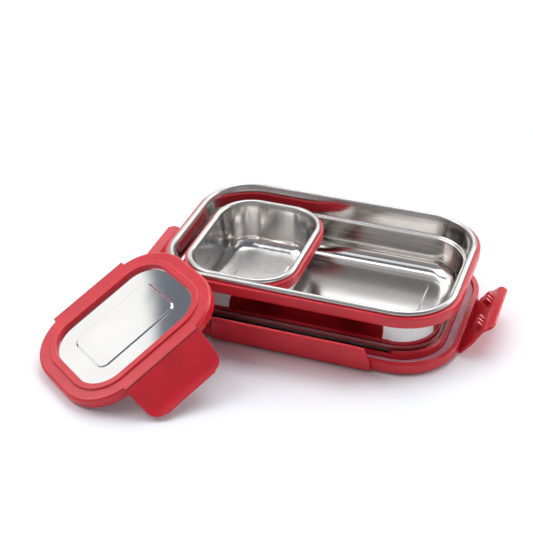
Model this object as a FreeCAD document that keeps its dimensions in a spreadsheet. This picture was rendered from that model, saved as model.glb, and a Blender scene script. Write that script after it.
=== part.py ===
"""Steel lunch box with clip lids: a main box standing in its upturned lid, an inner box and its leaning lid.

Millimetres, +Z up. The origin is the middle of the main lid's outer face, on the table.
"""
import FreeCAD, Part
import math
import os

import PartDesign
import Sketcher

# Driving dimensions, one named value each
SIZES = {
    # Main box: outline of the rolled rim
    "main_rim_length": 200.0,
    "main_rim_width": 129.8,
    "main_rim_corner": 36.7,
    "main_height": 43.46,
    "main_panel_end_margin": 11.2,
    "main_panel_side_margin": 6.1,
    "main_collar_proud": 2.5,
    # Inner box: its long side, its own X, lies across the main box
    "small_rim_width": 77.8,
    "small_rim_corner": 26.8,
    "small_headroom": 5.56,
    "small_side_play": 4.7,
    "small_side_shift": -1.4,
    "small_end_gap": 1.0,
    "small_draft": 3.0,
    "small_panel_end_margin": 3.8,
    "small_panel_side_margin": 3.9,
    "small_collar_proud": 2.0,
    # Drawn steel sheet
    "sheet_gauge": 0.6,
    "curl_radius": 2.0,
    "curl_leg": 0.7,
    "upper_draft": 1.8,
    "step_depth": 15.4,
    "step_width": 3.0,
    "step_radius": 1.4,
    "lower_draft": 0.2,
    "bottom_radius": 11.0,
    "panel_rise": 0.8,
    "panel_corner": 6.0,
    "panel_slope": 50.0,
    # Plastic collar under the rim
    "collar_height": 7.5,
    "collar_drop": 0.3,
    "collar_wall": 2.0,
    "collar_top_wall": 2.6,
    "collar_round": 0.7,
    "collar_rib_height": 1.2,
    "collar_clearance": 0.2,
    # Lids
    "main_lid_overhang": 4.45,
    "small_lid_overhang": 6.0,
    "lid_depth": 9.0,
    "lip_inset": 8.0,
    "lip_width": 5.4,
    "lip_round": 1.1,
    "flange_drop": 1.4,
    "edge_round": 2.0,
    "main_skirt_wall": 3.6,
    "small_skirt_wall": 2.0,
    "skirt_round": 0.6,
    "main_plug_clearance": 1.25,
    "small_plug_clearance": 1.0,
    "groove_roof": 4.0,
    "main_plug_wall": 3.1,
    "small_plug_wall": 1.8,
    "plug_reach": 11.3,
    "plug_side_reach": 8.6,
    "plug_low_past": 2.5,
    "plate_drop": 3.0,
    "plate_gauge": 0.6,
    "plate_tuck": 2.0,
    "plate_ledge": 1.6,
    "main_plate_panel_margin": 16.0,
    "small_plate_panel_margin": 13.0,
    "plate_panel_rise": 0.9,
    "gasket_gauge": 2.6,
    "gasket_clearance": 0.15,
    "gasket_round": 0.5,
    "gasket_squeeze": 0.5,
    # Clips and their living hinges
    "ledge_out": 1.5,
    "ledge_gauge": 2.1,
    "ledge_root": 1.5,
    "hinge_bead": 0.5,
    "hinge_clearance": 0.05,
    "hinge_wrap_start": 258.0,
    "hinge_wrap_end": 300.0,
    "hinge_mitre_gap": 0.3,
    "clip_gauge": 1.8,
    "clip_reach": 21.5,
    "clip_tip": 6.0,
    "clip_flare": 25.0,
    "hook_wall": 1.6,
    "hook_length": 4.0,
    "hook_rib": 2.5,
    "long_clip_half": 54.5,
    "long_clip_taper": 2.0,
    "long_clip_corner": 3.5,
    "long_clip_bend": 9.0,
    "long_hook_place": 31.0,
    "long_hook_half": 10.0,
    "long_hook_height": 3.4,
    "long_hook_ribs": 5,
    "short_clip_half": 32.0,
    "short_clip_taper": 5.5,
    "short_clip_corner": 5.0,
    "short_clip_bend": 9.0,
    "short_hook_place": 14.5,
    "short_hook_half": 5.3,
    "short_hook_height": 4.2,
    "short_hook_ribs": 3,
    "small_clip_half": 29.4,
    "small_clip_taper": 0.8,
    "small_clip_corner": 8.5,
    "small_clip_bend": 22.0,
    "small_hook_place": 13.0,
    "small_hook_half": 5.0,
    "small_hook_height": 5.8,
    "small_hook_ribs": 3,
    "clip_shoulder": 8.5,
    "clip_waist": 12.0,
    # How far each clip stands open, in degrees from shut
    "front_clip_open": 20.0,
    "back_clip_open": 24.0,
    "right_clip_open": 38.0,
    "left_clip_open": 40.0,
    "small_front_clip_open": 39.0,
    "small_back_clip_open": 39.0,
    # Inner lid leaning on the main rim
    "lean_turn": 55.5,
    "lean_overlap": 2.7,
    "lean_side": 17.7,
    "lean_gap": 0.9,
    "lean_floor_gap": 0.05,
}

# Sizes that follow from the others
DERIVED = {
    "lower_wall_inset": "=2 * curl_radius + upper_draft + step_width",
    "main_foot_inset": "=lower_wall_inset + lower_draft",
    "small_foot_inset": "=2 * curl_radius + small_draft",
    "main_base": "=plate_drop + plate_gauge",
    "small_base": "=main_base + sheet_gauge + panel_rise",
    "small_rim_length": "=main_rim_width - 2 * lower_wall_inset - 2 * small_collar_proud - small_side_play",
    "small_height": "=main_height - sheet_gauge - panel_rise - small_headroom",
    "small_end_reach": "=small_rim_width / 2 + small_collar_proud + small_end_gap",
    "small_place_along": "=lower_wall_inset + small_end_reach - main_rim_length / 2",
    "main_groove_width": "=main_lid_overhang + 2 * curl_radius + main_plug_clearance - main_skirt_wall",
    "small_groove_width": "=small_lid_overhang + 2 * curl_radius + small_plug_clearance - small_skirt_wall",
    "shut_height": "=groove_roof + gasket_gauge - gasket_squeeze",
    "collar_foot": "=curl_radius + curl_leg + collar_drop + collar_height",
    "hook_catch": "=shut_height + collar_foot - flange_drop - hinge_bead",
}

doc = FreeCAD.newDocument("lunch_box")
sheet = doc.addObject("Spreadsheet::Sheet", "Sizes")
for row, (alias, content) in enumerate({**SIZES, **DERIVED}.items(), start=1):
    sheet.set(f"A{row}", alias)
    sheet.set(f"B{row}", str(content))
    sheet.setAlias(f"B{row}", alias)
doc.recompute()

PARTS = []


def size(alias):
    """The expression that names one driving dimension."""
    return f"Sizes.{alias}"


def value(expression):
    """What an expression over the sheet comes to."""
    return float(sheet.evalExpression(expression))


def origin_plane(body, role):
    """One of a body's own base planes."""
    return [plane for plane in body.Origin.OriginFeatures if plane.Role == role][0]


def new_body(label):
    """An empty body for one piece."""
    body = doc.addObject("PartDesign::Body", label)
    body.Label = label
    PARTS.append(body)
    return body


def edge_between(start, end, radius, turn):
    """A straight edge, or an arc of the given radius that turns left (1) or right (-1)."""
    if radius is None:
        return Part.LineSegment(start, end)
    middle = (start + end) / 2
    chord = end - start
    rise = math.sqrt(max(radius ** 2 - chord.Length ** 2 / 4, 0.0))
    across = FreeCAD.Vector(-chord.y, chord.x, 0) / chord.Length
    centre = middle + across * rise * turn
    first, last = (start, end) if turn > 0 else (end, start)
    circle = Part.Circle(centre, FreeCAD.Vector(0, 0, 1), radius)
    first_angle = math.atan2(first.y - centre.y, first.x - centre.x)
    last_angle = math.atan2(last.y - centre.y, last.x - centre.x)
    return Part.ArcOfCircle(circle, first_angle, last_angle)


def outline(body, name, role, loops, offset=None):
    """A sketch on a base plane. A loop is a list of corners (x, y) written as expressions.

    A corner (x, y, radius, turn) starts an arc to the next corner.
    """
    sketch = body.newObject("Sketcher::SketchObject", name)
    sketch.AttachmentSupport = [(origin_plane(body, role), "")]
    sketch.MapMode = "FlatFace"
    if offset:
        sketch.setExpression("AttachmentOffset.Base.z", offset)
    for loop in loops:
        spots = [FreeCAD.Vector(value(corner[0]), value(corner[1]), 0) for corner in loop]
        first_edge = sketch.GeometryCount
        starts, ends, dimensions = [], [], []
        for index, corner in enumerate(loop):
            radius, turn = corner[2:] if len(corner) > 2 else (None, 1)
            arc_radius = value(radius) if radius else None
            follower = spots[(index + 1) % len(loop)]
            sketch.addGeometry(edge_between(spots[index], follower, arc_radius, turn), False)
            edge = first_edge + index
            starts.append((edge, 1 if turn > 0 else 2))
            ends.append((edge, 2 if turn > 0 else 1))
            if radius:
                dimensions.append(("Radius", (edge,), radius))
        for index, corner in enumerate(loop):
            following = (index + 1) % len(loop)
            sketch.addConstraint(Sketcher.Constraint("Coincident", *ends[index], *starts[following]))
            for kind, axis, expression in (("DistanceX", -2, corner[0]), ("DistanceY", -1, corner[1])):
                if expression == "0":
                    sketch.addConstraint(Sketcher.Constraint("PointOnObject", *starts[index], axis))
                else:
                    dimensions.append((kind, (-1, 1, *starts[index]), expression))
        for kind, places, expression in dimensions:
            number = sketch.addConstraint(Sketcher.Constraint(kind, *places, value(expression)))
            sketch.setExpression(f"Constraints[{number}]", expression)
    return sketch


def round_rectangle(length, width, corner):
    """Corners of a rounded rectangle about the origin, starting in the middle of its +X side."""
    x, y = f"({length}) / 2", f"({width}) / 2"
    xi, yi = f"({x} - ({corner}))", f"({y} - ({corner}))"
    return [
        (x, "0"), (x, yi, corner, 1),
        (xi, y), (f"-{xi}", y, corner, 1),
        (f"-({x})", yi), (f"-({x})", f"-{yi}", corner, 1),
        (f"-{xi}", f"-({y})"), (xi, f"-({y})", corner, 1),
        (x, f"-{yi}"),
    ]


def mirrored(loop):
    """The same loop on the other side of the sketch's upright axis."""
    return [(f"-({corner[0]})", corner[1]) + ((corner[2], -corner[3]) if len(corner) > 2 else ())
            for corner in loop]


def box_loop(low_x, high_x, low_y, high_y):
    """A plain rectangle."""
    return [(low_x, low_y), (high_x, low_y), (high_x, high_y), (low_x, high_y)]


def sweep(body, name, section, length, width, corner):
    """Carry a section, drawn at the +X side, once round a rounded rectangle."""
    path = outline(body, f"{name}_path", "XY_Plane", [round_rectangle(length, width, corner)])
    shape = outline(body, f"{name}_section", "XZ_Plane", [section])
    pipe = body.newObject("PartDesign::AdditivePipe", name)
    pipe.Profile = shape
    pipe.Spine = (path, [])
    return pipe


def pad(body, name, sketch, length, midplane=False, backward=False, slope=None):
    """Add a thickness to a sketch."""
    feature = body.newObject("PartDesign::Pad", name)
    feature.Profile = sketch
    feature.setExpression("Length", length)
    feature.Midplane = midplane
    feature.Reversed = backward
    if slope:
        feature.setExpression("TaperAngle", slope)
    return feature


def pocket(body, name, sketch, length=None, backward=False, slope=None):
    """Cut a sketch into the body, to a depth or right through both ways."""
    feature = body.newObject("PartDesign::Pocket", name)
    feature.Profile = sketch
    if length:
        feature.setExpression("Length", length)
    else:
        feature.Type = "ThroughAll"
        feature.Midplane = True
    feature.Reversed = backward
    if slope:
        feature.setExpression("TaperAngle", slope)
    return feature


def pressed_panel(body, name, length, width, under, gauge, rise):
    """A rounded rectangle pressed up out of a flat sheet whose underside is at the height under."""
    shape = round_rectangle(length, width, size("panel_corner"))
    slope = f"-{size('panel_slope')}"
    top = outline(body, f"{name}_top", "XY_Plane", [shape], offset=f"{under} + {gauge}")
    pad(body, f"{name}_raised", top, rise, slope=slope)
    below = outline(body, f"{name}_below", "XY_Plane", [shape], offset=under)
    pocket(body, f"{name}_hollow", below, rise, backward=True, slope=slope)


def drawn_box(kind, stepped):
    """Steel box drawn from one sheet: rolled rim, wall with or without a step, rounded foot and floor panel."""
    body = new_body(f"{kind}_tray")
    rim = f"{size(kind + '_rim_length')} / 2"
    top, gauge = size(f"{kind}_height"), size("sheet_gauge")
    curl, leg = size("curl_radius"), size("curl_leg")
    bend, foot = size("step_radius"), size("bottom_radius")
    step = f"({top} - {size('step_depth')})"
    curl_middle = f"({rim} - {curl})"
    upper = f"({rim} - 2 * {curl})"
    upper_low = f"({upper} - {size('upper_draft')})"
    lower = f"({rim} - {size('lower_wall_inset')})"
    wall_low = f"({rim} - {size(kind + '_foot_inset')})"
    floor_edge = f"({wall_low} - {foot})"
    curl_base = f"{top} - {curl}"
    step_inside = [
        (upper_low, f"{step} + {bend}", bend, -1),
        (f"{upper_low} - {bend}", step),
        (f"{lower} + {bend}", step, bend, 1),
        (lower, f"{step} - {bend}"),
    ]
    step_outside = [
        (f"{lower} + {gauge}", f"{step} - {bend}", f"{bend} - {gauge}", -1),
        (f"{lower} + {bend}", f"{step} - {gauge}"),
        (f"{upper_low} - {bend}", f"{step} - {gauge}", f"{bend} + {gauge}", 1),
        (f"{upper_low} + {gauge}", f"{step} + {bend}"),
    ]
    section = [
        (rim, f"{curl_base} - {leg}"),
        (rim, curl_base, curl, 1),
        (curl_middle, top, curl, 1),
        (upper, curl_base),
        *(step_inside if stepped else []),
        (wall_low, f"{foot} + {gauge}", foot, -1),
        (floor_edge, gauge),
        (floor_edge, "0", f"{foot} + {gauge}", 1),
        (f"{wall_low} + {gauge}", f"{foot} + {gauge}"),
        *(step_outside if stepped else []),
        (f"{upper} + {gauge}", curl_base, f"{curl} - {gauge}", -1),
        (curl_middle, f"{top} - {gauge}", f"{curl} - {gauge}", -1),
        (f"{rim} - {gauge}", curl_base),
        (f"{rim} - {gauge}", f"{curl_base} - {leg}"),
    ]
    length, width = size(f"{kind}_rim_length"), size(f"{kind}_rim_width")
    corner = size(f"{kind}_rim_corner")
    sweep(body, f"{kind}_wall", section, length, width, corner)
    inset = f"({size(kind + '_foot_inset')} + {foot})"
    floor_length, floor_width = f"({length} - 2 * {inset})", f"({width} - 2 * {inset})"
    floor_shape = round_rectangle(floor_length, floor_width, f"{corner} - {inset}")
    floor = outline(body, f"{kind}_floor_shape", "XY_Plane", [floor_shape])
    pad(body, f"{kind}_floor", floor, gauge)
    pressed_panel(body, f"{kind}_floor_panel", f"{floor_length} - 2 * {size(kind + '_panel_end_margin')}",
                  f"{floor_width} - 2 * {size(kind + '_panel_side_margin')}", "0", gauge, size("panel_rise"))
    return body


def collar(kind):
    """Plastic band under the rolled rim, open below, with a rib that locks inside the curl."""
    body = new_body(f"{kind}_collar")
    rim = f"{size(kind + '_rim_length')} / 2"
    gauge, curl, room = size("sheet_gauge"), size("curl_radius"), size("collar_clearance")
    top = f"({size(kind + '_height')} - {curl} - {size('curl_leg')} - {size('collar_drop')})"
    bottom = f"({top} - {size('collar_height')})"
    outer = f"({rim} + {size(kind + '_collar_proud')})"
    wall, soft = size("collar_wall"), size("collar_round")
    roof = f"({top} - {size('collar_top_wall')})"
    inner = f"({rim} - 2 * {curl} + {gauge} + {room})"
    rib_outer = f"({rim} - {gauge} - {room})"
    rib_top = f"({top} + {size('collar_rib_height')})"
    section = [
        (outer, f"{bottom} + {soft}"),
        (outer, f"{top} - {soft}", soft, 1),
        (f"{outer} - {soft}", top),
        (rib_outer, top),
        (rib_outer, rib_top),
        (inner, rib_top),
        (inner, bottom),
        (f"{inner} + {wall} / 2", bottom),
        (f"{inner} + {wall} / 2", roof),
        (f"{outer} - {wall}", roof),
        (f"{outer} - {wall}", bottom),
        (f"{outer} - {soft}", bottom, soft, 1),
    ]
    sweep(body, f"{kind}_band", section, size(f"{kind}_rim_length"), size(f"{kind}_rim_width"),
          size(f"{kind}_rim_corner"))
    return body


def lid_size(kind, side):
    """Outer length, width or corner of a lid, from the rim that it covers."""
    times = 1 if side == "corner" else 2
    return f"({size(kind + '_rim_' + side)} + {times} * {size(kind + '_lid_overhang')})"


def lid_frame(kind, clip_sides):
    """Moulded lid ring: raised lip, flange, skirt, seal groove, plug wall and a ledge for each clip."""
    body = new_body(f"{kind}_lid_frame")
    length, width = lid_size(kind, "length"), lid_size(kind, "width")
    edge = f"{length} / 2"
    flange, soft, skirt = f"-{size('flange_drop')}", size("edge_round"), size(f"{kind}_skirt_wall")
    lip_outer = f"({edge} - {size('lip_inset')})"
    window = f"({lip_outer} - {size('lip_width')})"
    lip = size("lip_round")
    depth, hem = f"-{size('lid_depth')}", size("skirt_round")
    groove_inner = f"({edge} - {skirt} - {size(kind + '_groove_width')})"
    plug_inner = f"({groove_inner} - {size(kind + '_plug_wall')})"
    plate_top = f"-{size('plate_drop')}"
    plate_under = f"-({size('plate_drop')} + {size('plate_gauge')})"
    ledge_under = f"-({size('plate_drop')} + {size('plate_gauge')} + {size('plate_ledge')})"
    slot_end = f"({window} + {size('plate_tuck')})"
    roof, reach = f"-{size('groove_roof')}", f"-{size('plug_reach')}"
    section = [
        (f"{edge} - {soft}", flange, soft, -1),
        (edge, f"{flange} - {soft}"),
        (edge, f"{depth} + {hem}", hem, -1),
        (f"{edge} - {hem}", depth),
        (f"{edge} - {skirt}", depth),
        (f"{edge} - {skirt}", roof),
        (groove_inner, roof),
        (groove_inner, reach),
        (plug_inner, reach),
        (plug_inner, ledge_under),
        (window, ledge_under),
        (window, plate_under),
        (slot_end, plate_under),
        (slot_end, plate_top),
        (window, plate_top),
        (f"{window} + {lip} / 2", f"-{lip}", lip, -1),
        (f"{window} + 1.5 * {lip}", "0"),
        (f"{lip_outer} - {lip}", "0", lip, -1),
        (lip_outer, f"-{lip}"),
        (lip_outer, flange),
    ]
    sweep(body, f"{kind}_lid_ring", section, length, width, lid_size(kind, "corner"))
    bead, gauge = size("hinge_bead"), size("ledge_gauge")
    nip = f"{bead} * sqrt(0.5)"
    for side, half in clip_sides.items():
        across = length if side == "short" else width
        line = f"({across} / 2 + {size('ledge_out')})"
        root = f"({across} / 2 - {size('ledge_root')})"
        axis_height = f"({flange} - {bead})"
        mitre = f"({gauge} - {bead})"
        loop = [
            (root, flange),
            (line, flange, bead, 1),
            (f"{line} - {nip}", f"{axis_height} - {nip}"),
            (f"{line} - {mitre}", f"{axis_height} - {mitre}"),
            (root, f"{axis_height} - {mitre}"),
        ]
        plane = "XZ_Plane" if side == "short" else "YZ_Plane"
        ledges = outline(body, f"{kind}_{side}_ledge_shape", plane, [loop, mirrored(loop)])
        pad(body, f"{kind}_{side}_ledges", ledges, f"2 * {half}", midplane=True)
    outer_wall = f"({skirt} + {size(kind + '_groove_width')})"
    inner_wall = f"({outer_wall} + {size(kind + '_plug_wall')})"
    round_off = f"({lid_size(kind, 'corner')} - {size('plug_low_past')})"
    low_x, low_y = f"({length} / 2 - {round_off})", f"({width} / 2 - {round_off})"
    loops = []
    for sign in ("", "-"):
        loops.append(box_loop(f"-{low_x}", low_x,
                              f"{sign}({width} / 2 - {inner_wall})", f"{sign}({width} / 2 - {outer_wall})"))
        loops.append(box_loop(f"{sign}({length} / 2 - {inner_wall})", f"{sign}({length} / 2 - {outer_wall})",
                              f"-{low_y}", low_y))
    low = outline(body, f"{kind}_plug_low_shape", "XY_Plane", loops, offset=reach)
    pocket(body, f"{kind}_plug_low", low, f"{size('plug_reach')} - {size('plug_side_reach')}", backward=True)
    return body


def lid_plate(kind):
    """Steel sheet whose rim is moulded into the frame, with a panel pressed outward."""
    body = new_body(f"{kind}_lid_plate")
    inset = f"({size('lip_inset')} + {size('lip_width')} - {size('plate_tuck')})"
    length, width = (f"({lid_size(kind, side)} - 2 * {inset})" for side in ("length", "width"))
    shape = round_rectangle(length, width, f"{lid_size(kind, 'corner')} - {inset}")
    gauge = size("plate_gauge")
    under = f"-({size('plate_drop')} + {gauge})"
    base = outline(body, f"{kind}_plate_shape", "XY_Plane", [shape], offset=under)
    pad(body, f"{kind}_plate_sheet", base, gauge)
    border = f"2 * ({size('plate_tuck')} + {size(kind + '_plate_panel_margin')})"
    pressed_panel(body, f"{kind}_plate_panel", f"{length} - {border}", f"{width} - {border}", under, gauge,
                  size("plate_panel_rise"))
    return body


def lid_gasket(kind):
    """Flat silicone seal at the roof of the groove."""
    body = new_body(f"{kind}_lid_gasket")
    length, width = lid_size(kind, "length"), lid_size(kind, "width")
    room, soft = size("gasket_clearance"), size("gasket_round")
    skirt = size(f"{kind}_skirt_wall")
    outer = f"({length} / 2 - {skirt} - {room})"
    inner = f"({length} / 2 - {skirt} - {size(kind + '_groove_width')} + {room})"
    roof = f"-{size('groove_roof')}"
    face = f"(-{size('groove_roof')} - {size('gasket_gauge')})"
    section = [
        (outer, roof),
        (outer, f"{face} + {soft}", soft, -1),
        (f"{outer} - {soft}", face),
        (f"{inner} + {soft}", face, soft, -1),
        (inner, f"{face} + {soft}"),
        (inner, roof),
    ]
    sweep(body, f"{kind}_seal", section, length, width, lid_size(kind, "corner"))
    return body


def clip(label, family):
    """Locking flap, shut, with its fold line on local X: it hangs down and its outer face looks along +Y."""
    body = new_body(label)
    bead, gauge = size("hinge_bead"), size("clip_gauge")
    wrap = f"({bead} + {size('hinge_clearance')})"
    start, end = f"{size('hinge_wrap_start')} * 1 deg", f"{size('hinge_wrap_end')} * 1 deg"
    reach, tip, flare = size("clip_reach"), size("clip_tip"), f"({size('clip_flare')} * 1 deg)"
    inner = f"({bead} - {gauge})"
    tip_y, tip_z = f"({bead} + {tip} * sin({flare}))", f"(-{reach} - {tip} * cos({flare}))"
    bend_out = size(f"{family}_clip_bend")
    bend_in = f"({bend_out} + {gauge})"
    bend_centre_y, bend_centre_z = f"({bead} + {bend_out})", f"(-{reach} + {bend_out} * tan({flare} / 2))"
    profile = [
        (f"{wrap} * cos({end})", f"{wrap} * sin({end})"),
        (bead, f"-{wrap}"),
        (bead, bend_centre_z, bend_out, 1),
        (f"{bend_centre_y} - {bend_out} * cos({flare})", f"{bend_centre_z} - {bend_out} * sin({flare})"),
        (tip_y, tip_z, f"0.55 * {gauge}", -1),
        (f"{tip_y} - {gauge} * cos({flare})", f"{tip_z} - {gauge} * sin({flare})"),
        (f"{bend_centre_y} - {bend_in} * cos({flare})", f"{bend_centre_z} - {bend_in} * sin({flare})",
         bend_in, -1),
        (inner, bend_centre_z),
        (inner, f"{inner} - {size('hinge_mitre_gap')} * sqrt(2)"),
        (f"{wrap} * cos({start})", f"{wrap} * sin({start})", wrap, 1),
    ]
    half, corner = size(f"{family}_clip_half"), size(f"{family}_clip_corner")
    flap = outline(body, f"{label}_profile", "YZ_Plane", [profile])
    pad(body, f"{label}_flap", flap, f"2 * {half}", midplane=True)
    place, hook_half = size(f"{family}_hook_place"), size(f"{family}_hook_half")
    catch, rib = size("hook_catch"), size("hook_rib")
    wall_end = f"-({catch} + {size('hook_wall')})"
    rib_end = f"-({catch} + {size('hook_length')})"
    hook = [(f"{place} - {hook_half}", f"-{catch}"), (f"{place} + {hook_half}", f"-{catch}")]
    ribs = int(value(size(f"{family}_hook_ribs")))
    pitch = f"(2 * {hook_half} - {rib}) / {ribs - 1}"
    for number in range(ribs):
        high = f"({place} + {hook_half} - {number} * {pitch})"
        if number:
            hook += [(low, wall_end), (high, wall_end)]
        low = f"({high} - {rib})"
        hook += [(high, rib_end), (low, rib_end)]
    hooks = outline(body, f"{label}_hook_shape", "XZ_Plane", [hook, mirrored(hook)], offset=f"-{inner}")
    pad(body, f"{label}_hooks", hooks, size(f"{family}_hook_height"))
    taper, fall = size(f"{family}_clip_taper"), size("clip_waist")
    waist = f"({half} - {taper})"
    shoulder, far = f"-{size('clip_shoulder')}", f"({tip_z} - {gauge})"
    past = f"({half} + {gauge})"
    bend = f"({fall} ^ 2 + {taper} ^ 2) / (4 * {taper})"
    trim = [
        (half, shoulder, bend, -1),
        (f"{half} - {taper} / 2", f"{shoulder} - {fall} / 2", bend, 1),
        (waist, f"{shoulder} - {fall}"),
        (waist, f"{tip_z} + {corner}", corner, -1),
        (f"{waist} - {corner}", tip_z),
        (f"{waist} - {corner}", far),
        (past, far),
        (past, shoulder),
    ]
    ends = outline(body, f"{label}_end_shape", "XZ_Plane", [trim, mirrored(trim)])
    pocket(body, f"{label}_ends", ends)
    return body


def hinge_web(label, family):
    """Thin moulded strip on the fold line, lying along local X."""
    web = doc.addObject("Part::Cylinder", label)
    web.Label = label
    web.setExpression("Radius", size("hinge_bead"))
    web.setExpression("Height", f"2 * {size(family + '_clip_half')}")
    PARTS.append(web)
    return web


def turn(axis, degrees):
    """A rotation about the origin."""
    return FreeCAD.Placement(FreeCAD.Vector(), FreeCAD.Rotation(FreeCAD.Vector(*axis), degrees))


def shift(x, y, z):
    """A move without rotation."""
    return FreeCAD.Placement(FreeCAD.Vector(x, y, z), FreeCAD.Rotation())


def leaning_place():
    """Where the inner lid's frame lies: one end on the table, the other on the main box's rim."""
    length = value(lid_size("small", "length"))
    depth = value(size("lid_depth"))
    rim_top = value(f"{size('main_base')} + {size('main_height')}")
    floor_gap = value(size("lean_floor_gap"))
    rise = math.degrees(math.asin((rim_top + value(size("lean_gap")) - floor_gap) / length))
    yaw = value(size("lean_turn"))
    corner = value(size("main_rim_corner"))
    corner_x = corner - value(size("main_rim_length")) / 2
    corner_y = corner - value(size("main_rim_width")) / 2
    along = FreeCAD.Vector(math.cos(math.radians(yaw)), math.sin(math.radians(yaw)), 0)
    aside = FreeCAD.Vector(-along.y, along.x, 0)
    high_end = FreeCAD.Vector(corner_x, corner_y, 0)
    high_end -= along * (corner - value(size("lean_overlap"))) + aside * value(size("lean_side"))
    high_end.z = rim_top + value(size("lean_gap"))
    tilt = turn((0, 0, 1), yaw) * turn((0, 1, 0), -rise)
    return shift(*high_end) * tilt * shift(-length / 2, 0, depth)


def clip_place(kind, side, frame_place):
    """The fold line of a lid's clip: local X along the hinge, +Y out of the lid."""
    out_turn = {"long_far": 0, "short_left": 90, "long_near": 180, "short_right": 270}[side]
    across = lid_size(kind, "width") if side.startswith("long") else lid_size(kind, "length")
    line = value(f"{across} / 2 + {size('ledge_out')}")
    height = -value(f"{size('flange_drop')} + {size('hinge_bead')}")
    return frame_place * turn((0, 0, 1), out_turn) * shift(0, line, height)


# Boxes
main_place = shift(0, 0, value(size("main_base")))
small_place = shift(*(value(size(f"small_{name}")) for name in ("place_along", "side_shift", "base")))
small_place = small_place * turn((0, 0, 1), 90)
PLACES = {}
for kind, place in (("main", main_place), ("small", small_place)):
    PLACES[drawn_box(kind, stepped=kind == "main")] = place
    PLACES[collar(kind)] = place

# Lids: the main one upside down under its box, the inner one leaning
LID_PLACES = {"main": turn((1, 0, 0), 180), "small": leaning_place()}
CLIP_SIDES = {
    "main": {"long": size("long_clip_half"), "short": size("short_clip_half")},
    "small": {"long": size("small_clip_half")},
}
for kind, place in LID_PLACES.items():
    for piece in (lid_frame(kind, CLIP_SIDES[kind]), lid_plate(kind), lid_gasket(kind)):
        PLACES[piece] = place

# Clips and hinge webs: name, lid, side of the lid in its own frame, family of sizes
CLIPS = [
    ("front", "main", "long_far", "long"),
    ("back", "main", "long_near", "long"),
    ("right", "main", "short_right", "short"),
    ("left", "main", "short_left", "short"),
    ("small_front", "small", "long_near", "small"),
    ("small_back", "small", "long_far", "small"),
]
for name, kind, side, family in CLIPS:
    fold = clip_place(kind, side, LID_PLACES[kind])
    half = value(size(f"{family}_clip_half"))
    PLACES[clip(f"{name}_clip", family)] = fold * turn((1, 0, 0), value(size(f"{name}_clip_open")))
    PLACES[hinge_web(f"{name}_hinge_web", family)] = fold * shift(-half, 0, 0) * turn((0, 1, 0), 90)

for piece, place in PLACES.items():
    piece.Placement = place
doc.recompute()

# Nothing is written unless every object is sound
for item in doc.Objects:
    if "Invalid" in item.State or "Error" in item.State:
        raise RuntimeError(f"{item.Label} failed: {item.State}")
for piece in PARTS:
    if piece.Shape.isNull() or not piece.Shape.isValid() or len(piece.Shape.Solids) != 1:
        raise RuntimeError(f"{piece.Label} is not one sound solid")

os.makedirs("parts", exist_ok=True)
for piece in PARTS:
    piece.Shape.exportStep(f"parts/{piece.Label}.step")
    print(piece.Label, round(piece.Shape.Volume, 1))
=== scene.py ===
"""Steel lunch box with red clip lids, on a white table under soft studio light.

Metres, in the frame of the CAD model.
"""
import math

import bpy
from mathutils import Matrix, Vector


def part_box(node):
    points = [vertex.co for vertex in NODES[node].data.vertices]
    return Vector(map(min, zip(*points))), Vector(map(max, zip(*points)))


MM = 0.001

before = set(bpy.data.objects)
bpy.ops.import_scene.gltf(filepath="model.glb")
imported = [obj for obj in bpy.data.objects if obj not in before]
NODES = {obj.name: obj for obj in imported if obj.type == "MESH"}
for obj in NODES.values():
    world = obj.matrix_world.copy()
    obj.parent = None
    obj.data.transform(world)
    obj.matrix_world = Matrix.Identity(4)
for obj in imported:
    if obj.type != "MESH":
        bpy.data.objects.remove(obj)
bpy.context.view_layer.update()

# Camera at the photograph's place: the point that it looks at, the way round and up from there, how far off
# it stands, its lens, and the nearest and farthest that it sees
AIM = Vector((-26.79, -41.74, 47.06)) * MM
AZIMUTH, ELEVATION = math.radians(19.48), math.radians(33.06)
DISTANCE = 838.7 * MM
LENS, SENSOR = 85.2, 36.0
NEAREST, FARTHEST = 0.01, 20

# Colours, linear
RED = (0.66, 0.016, 0.031)
RED_DEEP = (0.57, 0.012, 0.025)
# Hinge webs: the red darkened as painted shade, standing in for the shadow in the groove along each fold
CREASE_SHADE = (0.30, 0.007, 0.014)
CREASE_SHADE_DEEP = (0.24, 0.005, 0.011)
STEEL_LIGHT = (0.67, 0.652, 0.635)
STEEL_DARK = (0.59, 0.572, 0.556)
# Rolled rims: the same steel made darker, as painted shade on the rims
RIM_PAINTED_SHADE_LIGHT = (0.50, 0.49, 0.485)
RIM_PAINTED_SHADE_DARK = (0.44, 0.43, 0.425)
PLATE_LIGHT = (0.75, 0.745, 0.74)
PLATE_DARK = (0.71, 0.705, 0.70)
SEAL_PALE = (0.66, 0.36, 0.42)
SEAL_DEEP = (0.58, 0.28, 0.34)
TABLE_WHITE = (0.90, 0.92, 0.95)
ROOM_SIDES = (1.28, 1.28, 1.28)
ROOM_FRONT = (0.34, 0.33, 0.33)
ROOM_HIGH = (0.19, 0.21, 0.25)
ROOM_LOW = (0.50, 0.50, 0.51)

# How close the drawing marks lie along each axis, per millimetre: level bands, or upright streaks
DRAWING_MARKS = {"main_tray": (0.012, 0.012, 0.35), "small_tray": (0.25, 0.25, 0.012)}

# How close the other marks lie, in the same way: broad waves and clouds, and fine grain
STEEL_WAVES = (0.045, 0.045, 0.06)
STEEL_GRAIN = (6, 6, 6)
PLATE_WAVES = (0.03, 0.03, 0.03)
PLATE_GRAIN = (5, 5, 5)
PLASTIC_CLOUD = (0.06, 0.06, 0.06)
PLASTIC_GRAIN = (3.2, 3.2, 3.2)
SEAL_CLOUD = (0.2, 0.2, 0.2)
SEAL_GRAIN = (2.2, 2.2, 2.2)

# How much of the fine detail the noise keeps, and the two values between which most of it lies
NOISE_ROUGHNESS = 0.55
NOISE_LOW, NOISE_HIGH = 1 / 3, 2 / 3

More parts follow.
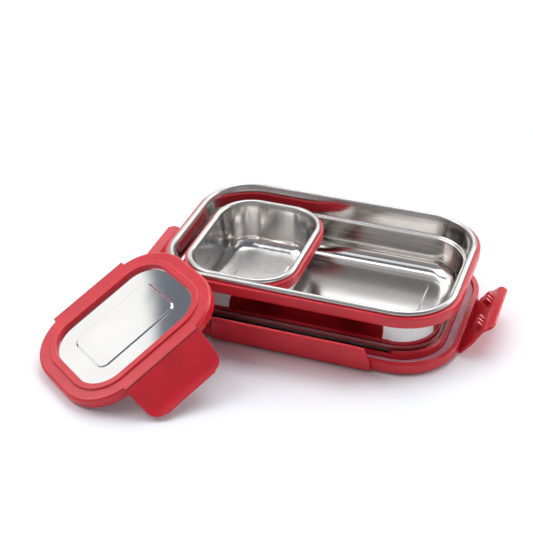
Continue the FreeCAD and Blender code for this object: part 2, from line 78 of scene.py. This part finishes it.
# Bumps made from those marks: depth in millimetres, and strength
STEEL_WAVE_BUMP = (0.4, 0.25)
STREAK_BUMP = (0.03, 0.3)
STEEL_GRAIN_BUMP = (0.003, 0.12)
PLATE_WAVE_BUMP = (0.3, 0.15)
PLATE_GRAIN_BUMP = (0.003, 0.10)
PLASTIC_CLOUD_BUMP = (0.2, 0.3)
PLASTIC_GRAIN_BUMP = (0.012, 0.2)
SEAL_GRAIN_BUMP = (0.03, 0.3)

# Radius in millimetres by which the shader eases sharp edges, and how often it looks for them
SHEET_EDGE, PLATE_EDGE, PLASTIC_EDGE, SEAL_EDGE = 0.4, 0.2, 0.5, 0.3
EDGE_SAMPLES = 8

# Least and most roughness: of the trays' walls, floors, rolled rims and feet, then of the other materials
INSIDE_SKIN = (0.10, 0.18)
OUTSIDE_SKIN = (0.03, 0.06)
FLOOR_SKIN = {"main_tray": (0.17, 0.23), "small_tray": (0.40, 0.48)}
RIM_SKIN = (0.24, 0.32)
FOOT_SKIN = (0.26, 0.34)
PLATE_SKIN = (0.04, 0.06)
PLASTIC_SKIN = (0.26, 0.34)
SEAL_SKIN = (0.40, 0.52)

# How tall a rolled rim and a foot are
RIM_ROLL = 4.0 * MM
FOOT_RISE = 11.0 * MM

# Upward part of a face's direction from which it begins to count as floor, and at which it fully does
FLOOR_FROM, FLOOR_FULL = 0.8, 0.98

# Outward part of a face's direction above which it counts as the outside
OUTSIDE_FROM = 0.3

# Fillet on the edges of the main lid's clips: points nearer than the gap are joined, faces flatter than one
# angle are merged, edges sharper than the other are rounded in steps, and the shading follows broad faces
# a little more than narrow ones
CLIP_FILLET = 0.15 * MM
FILLET_STEPS = 3
FILLET_ANGLE = math.radians(38)
WELD_GAP = 0.002 * MM
FLAT_ANGLE = math.radians(0.5)
FACE_WEIGHT = 60

# Table top: half its width, and how far out from below the aim it starts to fade and is plain white
TABLE_REACH = 3.0
FADE_START, FADE_END = 0.14, 0.42

# Where one part of the room passes into the next, by a direction's part along one axis: along Y the front
# into the sides, along Z the skirting into the walls and the walls into the ceiling, and along X the
# ceiling's white left end into the rest of it
FRONT_TO_SIDES = (-0.35, 0.15)
LOW_TO_WALLS = (0.12, 0.5)
WALLS_TO_CEILING = (0.645, 0.665)
CEILING_LEFT_END = (-0.686, -0.674)

# Lamps: name, place, the point that it faces, width and height, brightness
LAMPS = (
    ("top_panel", (0.05, 0.42, 1.35), (0.05, 0.1, 0), (1.1, 0.7), 3.1),
    ("back_panel", (-0.08, 0.87, 0.97), (0, 0, 0.03), (1.3, 0.8), 1.35),
    ("key", (-0.84, -0.26, 1.03), (-0.03, -0.04, 0.03), (0.75, 0.75), 3.5),
    ("front_panel", (-0.29, -0.52, 1.03), (0, 0.04, 0.01), (0.6, 0.34), 1.0),
    ("side_panel", (0.90, 0.76, 0.46), (0, 0, 0.03), (0.8, 0.5), 4.4),
)


class Shader:
    """One node material, built up by name."""

    def __init__(self, name):
        self.material = bpy.data.materials.new(name)
        self.material.use_nodes = True
        self.tree = self.material.node_tree
        self.principled = self.tree.nodes["Principled BSDF"]

    def add(self, kind, **settings):
        node = self.tree.nodes.new(kind)
        for name, setting in settings.items():
            setattr(node, name, setting)
        return node

    def link(self, source, target):
        self.tree.links.new(source, target)

    def set(self, **sockets):
        for name, setting in sockets.items():
            self.principled.inputs[name.replace("_", " ")].default_value = setting

    def stretched(self, scale):
        """Object coordinates in millimetres, squeezed or stretched along each axis."""
        place = self.add("ShaderNodeTexCoord")
        mapping = self.add("ShaderNodeMapping")
        mapping.inputs["Scale"].default_value = [part / MM for part in scale]
        self.link(place.outputs["Object"], mapping.inputs["Vector"])
        return mapping.outputs["Vector"]

    def noise(self, scale, detail):
        """Grey noise whose grains are one over scale millimetres along each axis."""
        node = self.add("ShaderNodeTexNoise")
        node.inputs["Scale"].default_value = 1.0
        node.inputs["Detail"].default_value = detail
        node.inputs["Roughness"].default_value = NOISE_ROUGHNESS
        self.link(self.stretched(scale), node.inputs["Vector"])
        return node.outputs["Fac"]

    def spread(self, factor, low, high):
        """A number that runs from low to high as a noise goes over the middle of its range."""
        node = self.add("ShaderNodeMapRange")
        node.inputs["From Min"].default_value = NOISE_LOW
        node.inputs["From Max"].default_value = NOISE_HIGH
        node.inputs["To Min"].default_value = low
        node.inputs["To Max"].default_value = high
        self.link(factor, node.inputs["Value"])
        return node.outputs["Result"]

    def tint(self, factor, first, second):
        """A colour between two, by a noise."""
        node = self.add("ShaderNodeMix", data_type="RGBA")
        node.inputs["A"].default_value = (*first, 1)
        node.inputs["B"].default_value = (*second, 1)
        self.link(self.spread(factor, 0, 1), node.inputs["Factor"])
        return node.outputs["Result"]

    def between(self, factor, first, second, kind="FLOAT"):
        """A number or a colour between two others, by the factor."""
        node = self.add("ShaderNodeMix", data_type=kind)
        for name, source in (("Factor", factor), ("A", first), ("B", second)):
            self.link(source, node.inputs[name])
        return node.outputs["Result"]

    def upward(self):
        """1 on level faces that look up, down to 0 on those that slope too much to count as floor."""
        geometry = self.add("ShaderNodeNewGeometry")
        axes = self.add("ShaderNodeSeparateXYZ")
        self.link(geometry.outputs["Normal"], axes.inputs["Vector"])
        step = self.add("ShaderNodeMapRange", interpolation_type="SMOOTHSTEP")
        step.inputs["From Min"].default_value = FLOOR_FROM
        step.inputs["From Max"].default_value = FLOOR_FULL
        self.link(axes.outputs["Z"], step.inputs["Value"])
        return step.outputs["Result"]

    def outward(self, centre):
        """1 on faces that look away from an upright line through the centre, 0 on the rest."""
        geometry = self.add("ShaderNodeNewGeometry")
        place = self.add("ShaderNodeTexCoord")
        arm = self.add("ShaderNodeVectorMath", operation="SUBTRACT")
        arm.inputs[1].default_value = centre
        self.link(place.outputs["Object"], arm.inputs[0])
        level = self.add("ShaderNodeVectorMath", operation="MULTIPLY")
        level.inputs[1].default_value = (1, 1, 0)
        self.link(arm.outputs["Vector"], level.inputs[0])
        way = self.add("ShaderNodeVectorMath", operation="NORMALIZE")
        self.link(level.outputs["Vector"], way.inputs[0])
        facing = self.add("ShaderNodeVectorMath", operation="DOT_PRODUCT")
        self.link(way.outputs["Vector"], facing.inputs[0])
        self.link(geometry.outputs["Normal"], facing.inputs[1])
        side = self.add("ShaderNodeMath", operation="GREATER_THAN")
        side.inputs[1].default_value = OUTSIDE_FROM
        self.link(facing.outputs["Value"], side.inputs[0])
        return side.outputs["Value"]

    def above(self, height):
        """1 on what is higher than this, 0 on the rest."""
        place = self.add("ShaderNodeTexCoord")
        axes = self.add("ShaderNodeSeparateXYZ")
        self.link(place.outputs["Object"], axes.inputs["Vector"])
        step = self.add("ShaderNodeMath", operation="GREATER_THAN")
        step.inputs[1].default_value = height
        self.link(axes.outputs["Z"], step.inputs[0])
        return step.outputs["Value"]

    def rounded(self, radius):
        """The surface's own direction, eased over sharp edges by a radius in millimetres."""
        node = self.add("ShaderNodeBevel", samples=EDGE_SAMPLES)
        node.inputs["Radius"].default_value = radius * MM
        return node.outputs["Normal"]

    def bump(self, normal, *layers):
        """Bumps laid over a direction, one on another: each is a height, and its depth and strength."""
        for height, (depth, strength) in layers:
            node = self.add("ShaderNodeBump")
            node.inputs["Distance"].default_value = depth * MM
            node.inputs["Strength"].default_value = strength
            self.link(height, node.inputs["Height"])
            self.link(normal, node.inputs["Normal"])
            normal = node.outputs["Normal"]
        self.link(normal, self.principled.inputs["Normal"])


def drawn_steel(name, centre, foot, rim, marks, floor_skin):
    """Deep-drawn sheet with drawing marks: bright outside, softer inside, a satin foot, and a satin rim
    whose colour is darkened as painted shade.
    """
    shader = Shader(name)
    shader.set(Metallic=1.0)
    streaks = shader.noise(marks, detail=3)
    waves = shader.noise(STEEL_WAVES, detail=1)
    grain = shader.noise(STEEL_GRAIN, detail=2)
    roll = shader.above(rim)
    sheet = shader.tint(streaks, STEEL_DARK, STEEL_LIGHT)
    # The rolled rim takes the darker steel colour: painted shade
    painted_shade_lip = shader.tint(streaks, RIM_PAINTED_SHADE_DARK, RIM_PAINTED_SHADE_LIGHT)
    shader.link(shader.between(roll, sheet, painted_shade_lip, "RGBA"), shader.principled.inputs["Base Color"])
    inside = shader.between(
        shader.upward(), shader.spread(streaks, *INSIDE_SKIN), shader.spread(grain, *floor_skin))
    outside = shader.between(
        shader.above(foot), shader.spread(grain, *FOOT_SKIN), shader.spread(streaks, *OUTSIDE_SKIN))
    wall = shader.between(shader.outward(centre), inside, outside)
    skin = shader.between(roll, wall, shader.spread(grain, *RIM_SKIN))
    shader.link(skin, shader.principled.inputs["Roughness"])
    shader.bump(shader.rounded(SHEET_EDGE), (waves, STEEL_WAVE_BUMP), (streaks, STREAK_BUMP),
                (grain, STEEL_GRAIN_BUMP))
    return shader.material


def plate_steel():
    """Polished lid plate: a close grain and a slight waviness."""
    shader = Shader("plate_steel")
    shader.set(Metallic=1.0)
    waves = shader.noise(PLATE_WAVES, detail=1)
    grain = shader.noise(PLATE_GRAIN, detail=3)
    shader.link(shader.tint(waves, PLATE_DARK, PLATE_LIGHT), shader.principled.inputs["Base Color"])
    shader.link(shader.spread(grain, *PLATE_SKIN), shader.principled.inputs["Roughness"])
    shader.bump(shader.rounded(PLATE_EDGE), (waves, PLATE_WAVE_BUMP), (grain, PLATE_GRAIN_BUMP))
    return shader.material


def red_plastic(name, deep, light):
    """Satin polypropylene with a fine moulded skin."""
    shader = Shader(name)
    shader.set(IOR=1.52, Subsurface_Weight=0.10, Subsurface_Scale=2.0 * MM,
               Subsurface_Radius=(1.0, 0.2, 0.18))
    cloud = shader.noise(PLASTIC_CLOUD, detail=2)
    skin = shader.noise(PLASTIC_GRAIN, detail=2)
    shader.link(shader.tint(cloud, deep, light), shader.principled.inputs["Base Color"])
    shader.link(shader.spread(skin, *PLASTIC_SKIN), shader.principled.inputs["Roughness"])
    shader.bump(shader.rounded(PLASTIC_EDGE), (cloud, PLASTIC_CLOUD_BUMP), (skin, PLASTIC_GRAIN_BUMP))
    return shader.material


def silicone():
    """Cloudy soft seal that lets some light in."""
    shader = Shader("silicone_seal")
    shader.set(IOR=1.41, Subsurface_Weight=0.5, Subsurface_Scale=3.0 * MM,
               Subsurface_Radius=(1.0, 0.5, 0.55))
    cloud = shader.noise(SEAL_CLOUD, detail=3)
    skin = shader.noise(SEAL_GRAIN, detail=2)
    shader.link(shader.tint(cloud, SEAL_DEEP, SEAL_PALE), shader.principled.inputs["Base Color"])
    shader.link(shader.spread(skin, *SEAL_SKIN), shader.principled.inputs["Roughness"])
    shader.bump(shader.rounded(SEAL_EDGE), (skin, SEAL_GRAIN_BUMP))
    return shader.material


def smooth_faces():
    """Nodes that shade every face smooth and leave the CAD mesh as it is."""
    tree = bpy.data.node_groups.new("smooth_faces", "GeometryNodeTree")
    for side in ("INPUT", "OUTPUT"):
        tree.interface.new_socket("Geometry", in_out=side, socket_type="NodeSocketGeometry")
    first = tree.nodes.new("NodeGroupInput")
    smooth = tree.nodes.new("GeometryNodeSetShadeSmooth")
    last = tree.nodes.new("NodeGroupOutput")
    tree.links.new(first.outputs[0], smooth.inputs[0])
    tree.links.new(smooth.outputs[0], last.inputs[0])
    return tree


def finish(node, material, fillet=0):
    """Give a CAD node its material and, where there is one, a fillet on its edges."""
    piece = NODES[node]
    piece.data.materials.clear()
    piece.data.materials.append(material)
    if not fillet:
        return
    smooth = piece.modifiers.new("smooth_faces", "NODES")
    smooth.node_group = bpy.data.node_groups.get("smooth_faces") or smooth_faces()
    weld = piece.modifiers.new("weld", "WELD")
    weld.merge_threshold = WELD_GAP
    flat = piece.modifiers.new("flat_faces", "DECIMATE")
    flat.decimate_type = "DISSOLVE"
    flat.angle_limit = FLAT_ANGLE
    bevel = piece.modifiers.new("fillet", "BEVEL")
    bevel.width = fillet
    bevel.segments = FILLET_STEPS
    bevel.limit_method = "ANGLE"
    bevel.angle_limit = FILLET_ANGLE
    bevel.harden_normals = True
    bevel.use_clamp_overlap = False
    bevel.miter_outer = "MITER_ARC"
    normals = piece.modifiers.new("normals", "WEIGHTED_NORMAL")
    normals.keep_sharp = True
    normals.weight = FACE_WEIGHT


def dress():
    """Materials for every CAD node, and fillets on the main lid's clips."""
    plate, seal = plate_steel(), silicone()
    plastic = red_plastic("red_plastic", RED_DEEP, RED)
    # Darker red for the hinge webs: painted shade for the shadow in the fold grooves
    crease_shade = red_plastic("red_crease_shade", CREASE_SHADE_DEEP, CREASE_SHADE)
    for node in NODES:
        if node.endswith("tray"):
            low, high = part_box(node)
            centre = (Vector(low) + Vector(high)) / 2
            foot, rim = low[2] + FOOT_RISE, high[2] - RIM_ROLL
            steel = drawn_steel(f"{node}_steel", centre, foot, rim, DRAWING_MARKS[node], FLOOR_SKIN[node])
            finish(node, steel)
        elif node.endswith("plate"):
            finish(node, plate)
        elif node.endswith("gasket"):
            finish(node, seal)
        elif node.endswith("hinge_web"):
            finish(node, crease_shade)
        elif node.endswith("clip") and not node.startswith("small"):
            finish(node, plastic, CLIP_FILLET)
        else:
            finish(node, plastic)


def camera():
    """The photograph's viewpoint."""
    data = bpy.data.cameras.new("camera")
    data.lens, data.sensor_width = LENS, SENSOR
    data.clip_start, data.clip_end = NEAREST, FARTHEST
    away = Vector((math.sin(AZIMUTH) * math.cos(ELEVATION), -math.cos(AZIMUTH) * math.cos(ELEVATION),
                   math.sin(ELEVATION)))
    eye = bpy.data.objects.new("camera", data)
    eye.location = AIM + away * DISTANCE
    eye.rotation_euler = (-away).to_track_quat("-Z", "Y").to_euler()
    bpy.context.scene.collection.objects.link(eye)
    bpy.context.scene.camera = eye


def softbox(name, place, towards, size, radiance):
    """A soft rectangular lamp of even brightness."""
    data = bpy.data.lights.new(name, "AREA")
    data.shape = "RECTANGLE"
    data.size, data.size_y = size
    data.energy = radiance * math.pi * size[0] * size[1]
    lamp = bpy.data.objects.new(name, data)
    lamp.location = place
    lamp.rotation_euler = (Vector(towards) - Vector(place)).to_track_quat("-Z", "Y").to_euler()
    bpy.context.scene.collection.objects.link(lamp)


def floor():
    """White table top that fades to plain white away from the object."""
    mesh = bpy.data.meshes.new("floor")
    corners = [(x * TABLE_REACH, y * TABLE_REACH, 0) for x, y in ((-1, -1), (1, -1), (1, 1), (-1, 1))]
    mesh.from_pydata(corners, [], [(0, 1, 2, 3)])
    table = bpy.data.objects.new("floor", mesh)
    bpy.context.scene.collection.objects.link(table)
    shader = Shader("floor")
    shader.set(Base_Color=(*TABLE_WHITE, 1), Roughness=0.5, IOR=1.3)
    glow = shader.add("ShaderNodeEmission")
    glow.inputs["Color"].default_value = (1, 1, 1, 1)
    place = shader.add("ShaderNodeTexCoord")
    centre = shader.add("ShaderNodeVectorMath", operation="DISTANCE")
    centre.inputs[1].default_value = (AIM.x, AIM.y, 0)
    shader.link(place.outputs["Object"], centre.inputs[0])
    fade = shader.add("ShaderNodeMapRange", interpolation_type="SMOOTHSTEP")
    fade.inputs["From Min"].default_value = FADE_START
    fade.inputs["From Max"].default_value = FADE_END
    shader.link(centre.outputs["Value"], fade.inputs["Value"])
    ray = shader.add("ShaderNodeLightPath")
    seen = shader.add("ShaderNodeMath", operation="MAXIMUM")
    shader.link(ray.outputs["Is Camera Ray"], seen.inputs[0])
    shader.link(ray.outputs["Is Glossy Ray"], seen.inputs[1])
    share = shader.add("ShaderNodeMath", operation="MULTIPLY")
    shader.link(fade.outputs["Result"], share.inputs[0])
    shader.link(seen.outputs["Value"], share.inputs[1])
    mix = shader.add("ShaderNodeMixShader")
    shader.link(share.outputs["Value"], mix.inputs["Fac"])
    shader.link(shader.principled.outputs["BSDF"], mix.inputs[1])
    shader.link(glow.outputs["Emission"], mix.inputs[2])
    shader.link(mix.outputs["Shader"], shader.tree.nodes["Material Output"].inputs["Surface"])
    mesh.materials.append(shader.material)


def studio():
    """White walls at the back and sides, a dim front, ceiling and skirting, and soft lamps."""
    world = bpy.data.worlds.new("studio")
    world.use_nodes = True
    bpy.context.scene.world = world
    tree = world.node_tree
    background = tree.nodes["Background"]
    place = tree.nodes.new("ShaderNodeTexCoord")
    axes = tree.nodes.new("ShaderNodeSeparateXYZ")
    tree.links.new(place.outputs["Generated"], axes.inputs["Vector"])

    def blend(axis, span, first, second):
        """One colour that passes into another over a span of the direction's part along an axis."""
        step = tree.nodes.new("ShaderNodeMapRange")
        step.interpolation_type = "SMOOTHSTEP"
        step.inputs["From Min"].default_value, step.inputs["From Max"].default_value = span
        tree.links.new(axes.outputs[axis], step.inputs["Value"])
        mix = tree.nodes.new("ShaderNodeMix")
        mix.data_type = "RGBA"
        tree.links.new(step.outputs["Result"], mix.inputs["Factor"])
        for name, colour in (("A", first), ("B", second)):
            if isinstance(colour, tuple):
                mix.inputs[name].default_value = (*colour, 1)
            else:
                tree.links.new(colour, mix.inputs[name])
        return mix.outputs["Result"]

    walls = blend("Y", FRONT_TO_SIDES, ROOM_FRONT, ROOM_SIDES)
    walls = blend("Z", LOW_TO_WALLS, ROOM_LOW, walls)
    ceiling = blend("X", CEILING_LEFT_END, walls, ROOM_HIGH)
    room = blend("Z", WALLS_TO_CEILING, walls, ceiling)
    ray = tree.nodes.new("ShaderNodeLightPath")
    view = tree.nodes.new("ShaderNodeMix")
    view.data_type = "RGBA"
    tree.links.new(ray.outputs["Is Camera Ray"], view.inputs["Factor"])
    tree.links.new(room, view.inputs["A"])
    view.inputs["B"].default_value = (1, 1, 1, 1)
    tree.links.new(view.outputs["Result"], background.inputs["Color"])
    for lamp in LAMPS:
        softbox(*lamp)


dress()
camera()
floor()
studio()
bpy.context.scene.view_settings.view_transform = "Standard"
